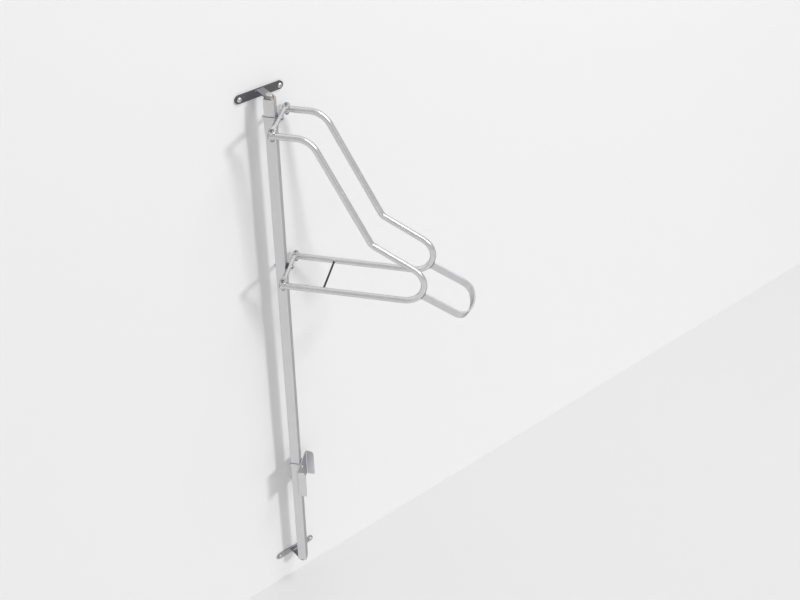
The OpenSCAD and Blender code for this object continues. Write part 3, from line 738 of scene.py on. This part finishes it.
# %% [markdown]
# ## Pivots
# The rack turns on two pins in flanged bronze bushes. Only the upper pin's head,
# the lower pin's end and the bushes' flanges show. They are turned profiles, and
# their edges are rounded by the lathe's file, as real ones are.

# %% Pins and bushes
upper_pin = [(0, 9), (9.2, 9), (10, 8.2), (10, 5), (6, 5), (6, -29.3), (5, -30.3), (0, -30.3)]
lower_pin = [(0, -5), (5.4, -5), (6, -4.4), (6, 29.3), (5, 30.3), (0, 30.3)]
for name, profile, z, node in (("upper_pin_head", upper_pin, UPPER_TONGUE, "upper_pivot_pin"),
                               ("lower_pin_end", lower_pin, LOWER_TONGUE + BAR_T, "lower_pivot_pin")):
    pin = standing(turned(soften(profile, 0.5)), (0, AXIS_OUT, z))
    piece(name, [shell(pin)], fixed, "brackets", bolt_zinc, [node])

bush_profile = [(6.05, 1), (6.05, 0), (12.5, 0), (12.5, 2), (8.05, 2), (8.05, 32), (6.05, 32), (6.05, 1)]
for name, z, way in (("upper_bush", POST_HIGH + 2, -1), ("lower_bush", POST_LOW - 2, 1)):
    bush = standing(turned(soften(bush_profile, 0.3)) * (1, 1, way), (0, 0, z))
    piece(name + "_turned", [shell(bush, (True, True))], swung, "rack", bush_bronze, [name])

# %% [markdown]
# ## Bolts, washers and nuts
# A hexagon is a circle whose radius depends on the angle: half the width across
# flats over the cosine of the angle from the flat's middle. A nut's top is turned
# to a cone, so the flats end in the familiar arcs: each corner's height is less by
# how far it stands out, times the tangent of thirty degrees. Threads show only
# where a bolt ends past its nut, and there the radius rises and falls with height
# plus angle, which makes a helix.

# %% Hexagons and threads
def hexagonal(flats, around):
    """A hexagon's radius at each angle: half its width across flats over the cosine of the angle from the
    middle of the nearest flat."""
    return flats / 2 / np.cos((angles(around) + math.pi / 6) % (math.pi / 3) - math.pi / 6)


def hexagon_nut(flats, low, high, bore, around=72):
    """Rows of a hexagon nut from its underside to its chamfered top, open at a bore."""
    radius, flat_r = hexagonal(flats, around), 0.475 * flats
    shoulder = high - (radius - flat_r) * math.tan(math.pi / 6)
    rows = [(bore, low), (flat_r, low), (radius, low + 0.05), (radius, shoulder), (flat_r, high),
            (0.97 * flat_r, high), (bore, high)]
    return turned(rows, around)


def threaded_end(radius, low, high, pitch=1.0, around=48):
    """A bolt's end: its radius falls and rises with height plus a turn's share of the pitch, and tapers at
    its tip."""
    z = np.arange(low, high + 1e-6, pitch / 8)
    phase = (z[:, None] / pitch + angles(around) / (2 * math.pi)) % 1.0
    depth = 0.61 * pitch * (1 - np.abs(2 * phase - 1))
    taper = np.clip((z[:, None] - (high - pitch)) / pitch, 0, 1) * 0.8
    r = radius - np.minimum(depth + taper, 0.2 * radius)
    return turned([(0, z[0]), *zip(r, z), (0, z[-1])], around)


print("corner radius of a hexagon 10 across flats:", round(float(hexagonal(10, 72).max()), 3))

# %% [markdown]
# ### Domed heads
# The wall screws and the cradle's bolts show small domes that lie close on what
# they hold, so they are button heads with a socket. A ball cut by a Boolean would do,
# but one profile does it with clean rows: it runs up the dome, over its rim and down
# into the socket, where its circle becomes a hexagon.

# %% Domed heads with a socket
def button_head(radius, height, socket_flats, socket_depth, around=72):
    """Rows of a domed head: its height is an ellipse over its radius, and its socket is a hexagon."""
    socket = hexagonal(socket_flats, around)
    rise = np.linspace(0.0, 1.15, 12)
    dome = zip(radius * np.cos(rise), 0.6 + (height - 0.6) * np.sin(rise) / math.sin(rise[-1]))
    floor = height - socket_depth
    rows = [(0, 0), (0.93 * radius, 0), (radius, 0.35), *dome, (socket + 0.35, height),
            (socket + 0.25, height - 0.02), (socket, height - 0.3), (socket, floor + 0.2),
            (socket - 0.2, floor), (0, floor - 0.6)]
    return turned(rows, around)


print("rows of a domed head:", len(button_head(7.6, 4.4, 5.0, 2.6)))

# %% [markdown]
# ### Fasteners in place
# Every bolt of the rack is the same but for its head: head, plain shank, a short
# threaded end, and a flange nut behind. A function puts one together at the height
# of its two seats, and a placing function stands it up or lays it through the post.
# Washers on round tube are hollowed to it, so that they sit without rocking.

# %% Washers and whole bolts
def disc(outer, inner, low, high, edge=0.3):
    """A washer as a closed loop with rounded edges."""
    loop = [(inner, low + edge), (inner, high), (outer, high), (outer, low), (inner, low),
            (inner, low + edge)]
    return turned(soften(loop, edge))


def saddle(hollow, crest, radius=6.3, hole=3.25, around=72):
    """A washer round an upright axis, hollowed to a tube along the second axis: its underside is at the
    root of (the tube's radius squared less x squared)."""
    def under(r):
        return np.sqrt(hollow ** 2 - (r * np.cos(angles(around))) ** 2)

    rim = [(hole, under(hole)), (hole, crest), (radius - 0.35, crest), (radius, crest - 0.35),
           (radius, under(radius))]
    return turned(rim, around)


def bolted(head, seat, nut_seat, place, at):
    """Shells of a bolt and of its flange nut. The head lies at seat above the place, and the nut at
    nut_seat below it."""
    d, shank_r, bore = 2 * BOLT_R, BOLT_R - 0.1, BOLT_R + 0.1
    down = (1, 1, -1)
    low, high = -nut_seat - 1, seat + 0.5
    shank = turned([(0, low), (shank_r, low), (shank_r, high), (0, high)], 32)
    thread = threaded_end(BOLT_R, nut_seat - 0.5, nut_seat + d + 2) * down
    nut = hexagon_nut(1.625 * d, nut_seat, nut_seat + d, bore) * down
    flange = disc(1.05 * d, bore, nut_seat, nut_seat + 0.2 * d) * down
    return ([shell(place(grid, at)) for grid in (head + (0, 0, seat), shank, thread)],
            [shell(place(grid, at), (True, True)) for grid in (nut, flange)])


washer = saddle(TUBE_R, TUBE_R + 1.5)
print("height of a hollowed washer:", round(float(np.ptp(washer[..., 2])), 2), "mm")

# %% Bolts of the cradle
cradle_bolts, cradle_nuts, rear_nuts, cradle_washers = [], [], [], []
d = 2 * BOLT_R
cradle_head = button_head(0.86 * d, 0.55 * d, 0.67 * d, 0.34 * d)
leg_hollow, leg_crest = TUBE_R + 0.05, TUBE_R + 1.55
for leg, back in ((UPPER_LEG, SLEEVE_OUT), (LOWER_LEG, POST / 2)):
    z = leg + CROSS_RISE
    bolt, nut = bolted(cradle_head, CROSS_OUT + CROSS_R + 1.6, back, facing_out, (0, 0, z))
    cradle_bolts += bolt
    rear_nuts += nut
    washer = saddle(CROSS_R + 0.1, CROSS_R + 1.6)[..., [1, 0, 2]]
    cradle_washers.append(shell(facing_out(washer, (0, CROSS_OUT, z)), (True, True)))
    for x in (-HOOP_X, HOOP_X):
        at = (x, CROSS_OUT, leg)
        bolt, nut = bolted(cradle_head, CROSS_RISE + PRESSED_T / 2, leg_crest, standing, at)
        cradle_bolts += bolt
        cradle_nuts += nut
        for way in (1, -1):
            washer = saddle(leg_hollow, leg_crest) * (1, 1, way)
            cradle_washers.append(shell(standing(washer, at), (True, True)))
# The cradle's bolt heads and front nuts are darkened with painted shade.
piece("cradle_bolt_heads", cradle_bolts, swung, "rack", painted_shade_nut_zinc, ["cradle_bolts"])
piece("cradle_nut_set", cradle_nuts, swung, "rack", painted_shade_nut_zinc, ["cradle_nuts"])
piece("rear_nut_set", rear_nuts, swung, "rack", post_zinc, ["cradle_nuts"])
piece("saddle_washers", cradle_washers, swung, "rack", tube_zinc, ["cradle_washers"])

# %% Bolts of the rest
rest_bolts, rest_nuts, BOLT_INSET = [], [], 25
low_head = turned(soften([(0, 3.3), (1.6, 3.2), (3.6, 2.5), (5.0, 1.2), (5.4, 0.0), (0, 0)], 0.4))
for z in (REST_LOW + BOLT_INSET, REST_HIGH - BOLT_INSET):
    bolt, nut = bolted(low_head, REST_BACK + SHEET, SLEEVE_OUT, facing_out, (0, 0, z))
    rest_bolts += bolt
    rest_nuts += nut
piece("rest_bolt_heads", rest_bolts, swung, "rack", bolt_zinc, ["rest_bolts"])
piece("rest_nut_set", rest_nuts, swung, "rack", bolt_zinc, ["rest_nuts"])

# %% [markdown]
# ## Wall screws
# Four screws hold the bars to the wall. They come with the wall's side of the
# joint, so the solids leave them out, but the rack isn't shown without them.

# %% Wall screws
wall_screws = []
screw_head = button_head(7.6, 4.4, 5.0, 2.6)
screw_shank = turned([(0, 0.4), (4, 0.4), (4, 5.2), (0, 5.2)], 32)
for z in (UPPER_BAR, LOWER_BAR):
    for x in (-SCREW_X, SCREW_X):
        wall_screws += [shell(facing_out(screw_head, (x, BAR_T + 0.05, z))),
                        shell(facing_out(screw_shank, (x, 0, z)))]
piece("wall_screw_heads", wall_screws, fixed, "brackets", bolt_zinc)

# %% [markdown]
# ## Weld beads
# The welded joints show a bead: a row of overlapping scales left by the welder's
# rhythm. A bead is a small round carried along the joint's line, whose size swells
# and falls once per scale. Where a tube meets a tube, that line is the cope's own
# curve.

# %% Beads at the tie rod's ends
def bead(line, size, scale=2.4, closed=True):
    """A round carried along a line of points. Over each scale, so many mm long, its radius falls from size
    by a seventh, as the root of the way left to the next scale does."""
    line = np.asarray(line, float)
    ahead = np.roll(line, -1, 0) if closed else np.concatenate([line[1:], line[-1:]])
    behind = np.roll(line, 1, 0) if closed else np.concatenate([line[:1], line[:-1]])
    way = ahead - behind
    way /= np.linalg.norm(way, axis=1)[:, None]
    side = np.cross(way, line - line.mean(0))
    side /= np.maximum(np.linalg.norm(side, axis=1), 1e-9)[:, None]
    up = np.cross(side, way)
    walked = np.concatenate([[0], np.cumsum(np.linalg.norm(np.diff(line, axis=0), axis=1))])
    length = walked[-1] + (np.linalg.norm(line[0] - line[-1]) if closed else 0)
    phase = (walked / length * max(1, round(length / scale))) % 1.0
    radius = size * (0.86 + 0.14 * np.sqrt(1 - phase))
    if not closed:
        radius[[0, -1]] = 0
    ring = angles(14)[:, None]
    outwards = np.cos(ring) * side[:, None] + np.sin(ring) * up[:, None]
    return line[:, None] + radius[:, None, None] * outwards


rod_beads = []
c, s = np.cos(angles(72)), np.sin(angles(72))
for sign in (-1, 1):
    end = HOOP_X - np.sqrt((TUBE_R + 0.2) ** 2 - (3.2 * s) ** 2)
    line = np.stack([sign * end, TIE_OUT + 3.3 * c, LOWER_LEG + 3.3 * s], -1)
    rod_beads.append(shell(bead(line, 1.0, 1.6), (True, True)))
piece("tube_weld_beads", rod_beads, swung, "rack", weld_zinc)

# %% Beads round the strap's arms
def filled(line, count):
    """The closed line with count points along each side that is longer than 3 mm."""
    sides = zip(line, np.roll(line, -1, 0))
    return np.concatenate([np.linspace(a, b, count, endpoint=False) if np.linalg.norm(a - b) > 3 else [a]
                           for a, b in sides])


strap_beads = []
t, w = (filled(flat_section(STRAP_W, STRAP_T, 0.9, 6), 24) - (0, STRAP_DROP)).T
for sign in (-1, 1):
    line = on_slope(coped(TUBE_R + 0.5, t, w), sign * HOOP_X + t, w)
    strap_beads.append(shell(bead(line, 1.5), (True, True)))
piece("strap_weld_beads", strap_beads, swung, "rack", weld_zinc)

# %% Beads along the sleeves' upper edges
sleeve_beads = []
for top in (SLEEVE_HIGH, REST_HIGH):
    line = filled(square_ring(POST + 1.3, POST_CORNER + 0.65, top + 0.1, 24), 40)
    sleeve_beads.append(shell(bead(line, 0.85, 1.8), (True, True)))
# These beads are darkened with painted shade, a dark line at the sleeves' tops.
piece("sleeve_weld_beads", sleeve_beads, swung, "rack", painted_shade_bead_zinc)

# %% Beads where the tongues meet the wall bars
tongue_beads = []
BEAD_X = BAR_H / 2 + 0.2
for near, far in ((UPPER_TONGUE - 0.2, UPPER_TONGUE + BAR_T - 0.8),
                  (LOWER_TONGUE + BAR_T + 0.2, LOWER_TONGUE + 0.8)):
    corners = np.array([(-BEAD_X, far), (-BEAD_X, near), (BEAD_X, near), (BEAD_X, far)])
    sides = [np.linspace(a, b, count, endpoint=False)
             for a, b, count in zip(corners[:-1], corners[1:], (16, 90, 16))]
    x, z = np.concatenate([*sides, corners[-1:]]).T
    line = np.stack([x, np.full(len(x), BAR_T + 0.3), z], -1)
    tongue_beads.append(shell(bead(line, 1.7, closed=False)))
piece("bracket_weld_beads", tongue_beads, fixed, "brackets", weld_zinc)

# %% [markdown]
# ## Solids that stay as they are
# The saddle behind the lower cross tube and the plugs inside the post are right as
# solids. They only get their finish.

# %% Finish on the remaining solids
# The saddle takes the upper bar's grey, which is painted shade and painted reflection.
for name, look in (("lower_saddle", painted_shade_bar_zinc), ("upper_plug", sheet_zinc), ("lower_plug", sheet_zinc)):
    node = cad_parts[name]
    node.data.materials.clear()
    node.data.materials.append(look)
print("solids still shown:", [n for n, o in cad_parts.items() if not o.hide_render])

# %% [markdown]
# ## Wall and floor
# The rack hangs on a pale wall above a pale floor. Both are plain matt paint and
# belong to the stage. The wall can be seen from its front only, so that a camera
# behind it sees the rack's back. It stands half a millimetre behind the bars' backs,
# so that no two faces lie in one place.

# %% Wall and floor
def matt_paint(name, colour, one_sided):
    """Plain matt paint. A one-sided one lets every ray through that meets its back."""
    look, tree, paint = new_material(name)
    paint["Base Color"].default_value = (*colour, 1)
    paint["Roughness"].default_value = 0.9
    paint["Specular IOR Level"].default_value = 0.1
    if one_sided:
        clear = add(tree, "BsdfTransparent")
        back = add(tree, "NewGeometry").outputs["Backfacing"]
        painted = tree.nodes["Principled BSDF"].outputs[0]
        mix = add(tree, "MixShader", {0: back, 1: painted, 2: clear.outputs[0]})
        tree.links.new(mix.outputs[0], tree.nodes["Material Output"].inputs["Surface"])
    return look


def stage_sheet(name, corners, look):
    """One flat face of the stage, its front where the corners run anticlockwise."""
    mesh = bpy.data.meshes.new(name)
    mesh.from_pydata(corners, [], [(0, 1, 2, 3)])
    mesh.materials.append(look)
    made = new_object(name, mesh)
    print(name, "corners:", corners)


FLOOR, WALL = -0.13, 0.0005
wall_paint = matt_paint("wall_paint", (0.84, 0.84, 0.84), True)
floor_paint = matt_paint("floor_paint", (0.755, 0.755, 0.755), False)
stage_sheet("wall_sheet", [(-7, WALL, FLOOR), (9, WALL, FLOOR), (9, WALL, 6), (-7, WALL, 6)], wall_paint)
stage_sheet("floor_sheet", [(-9, -9, FLOOR), (11, -9, FLOOR), (11, 5, FLOOR), (-9, 5, FLOOR)], floor_paint)

# %% [markdown]
# ## Light
# Light comes from all round, as on a bright day. A sun from the right throws the
# rack's faint shadow to the left on the wall. Its disc is wide, so the shadow is
# soft, and its direction was worked out from the shadow's place. A large soft lamp
# overhead draws the bright line along the bent tubes. Together with the even world
# they light a surface at about its own colour.

# %% Lamps and world
def hang_lamp(name, kind, energy, place, way):
    """A lamp at a place, which shines along a direction."""
    lamp = bpy.data.lights.new(name, kind)
    lamp.energy = energy
    made = new_object(name, lamp)
    made.location = place
    made.rotation_euler = Vector(way).to_track_quat("-Z", "Y").to_euler()
    print(name, "shines along", np.round(way, 2).tolist())
    return lamp


window_light = hang_lamp("window_light", "SUN", 1.14, (0, 0, 0), (-4.0, 7.05, -4.8))
window_light.angle = math.radians(9)
top_lamp = hang_lamp("top_lamp", "AREA", 105, (2.3, -2.5, 6.4), (-2.2, 2.3, -5.2))
top_lamp.shape, top_lamp.size = "SQUARE", 1.8
world = bpy.data.worlds.new("even_light")
world.use_nodes = True
glow = world.node_tree.nodes["Background"].inputs
glow["Color"].default_value = (1, 1, 1, 1)
glow["Strength"].default_value = 0.57
bpy.context.scene.world = world
bpy.context.scene.view_settings.view_transform = "Standard"

# %% [markdown]
# ## Camera
# The camera stands where the photograph was taken: high on the left, looking down
# at the rack at about 38 degrees. Its place was solved from the upright lines, the
# line where the wall meets the floor, and the rack's own parallel tubes.

# %% Camera
lens = bpy.data.cameras.new("camera")
lens.lens, lens.sensor_width = 56.17, 36.0
bearing, pitch = math.radians(51.015), math.radians(-38.467)
level = math.cos(pitch)
look_at = Vector((math.cos(bearing) * level, math.sin(bearing) * level, math.sin(pitch)))
camera = new_object("camera", lens)
camera.location = (-1.6018, -2.5935, 3.5579)
camera.rotation_euler = look_at.to_track_quat("-Z", "Y").to_euler()
bpy.context.scene.camera = camera
print("camera looks along:", np.round(look_at, 3).tolist())

# %% [markdown]
# ## Faces and end
# The faces of all the new pieces are counted and printed.

# %% Count the faces and finish
print("faces in all:", sum(len(o.data.polygons) for o in all_pieces))
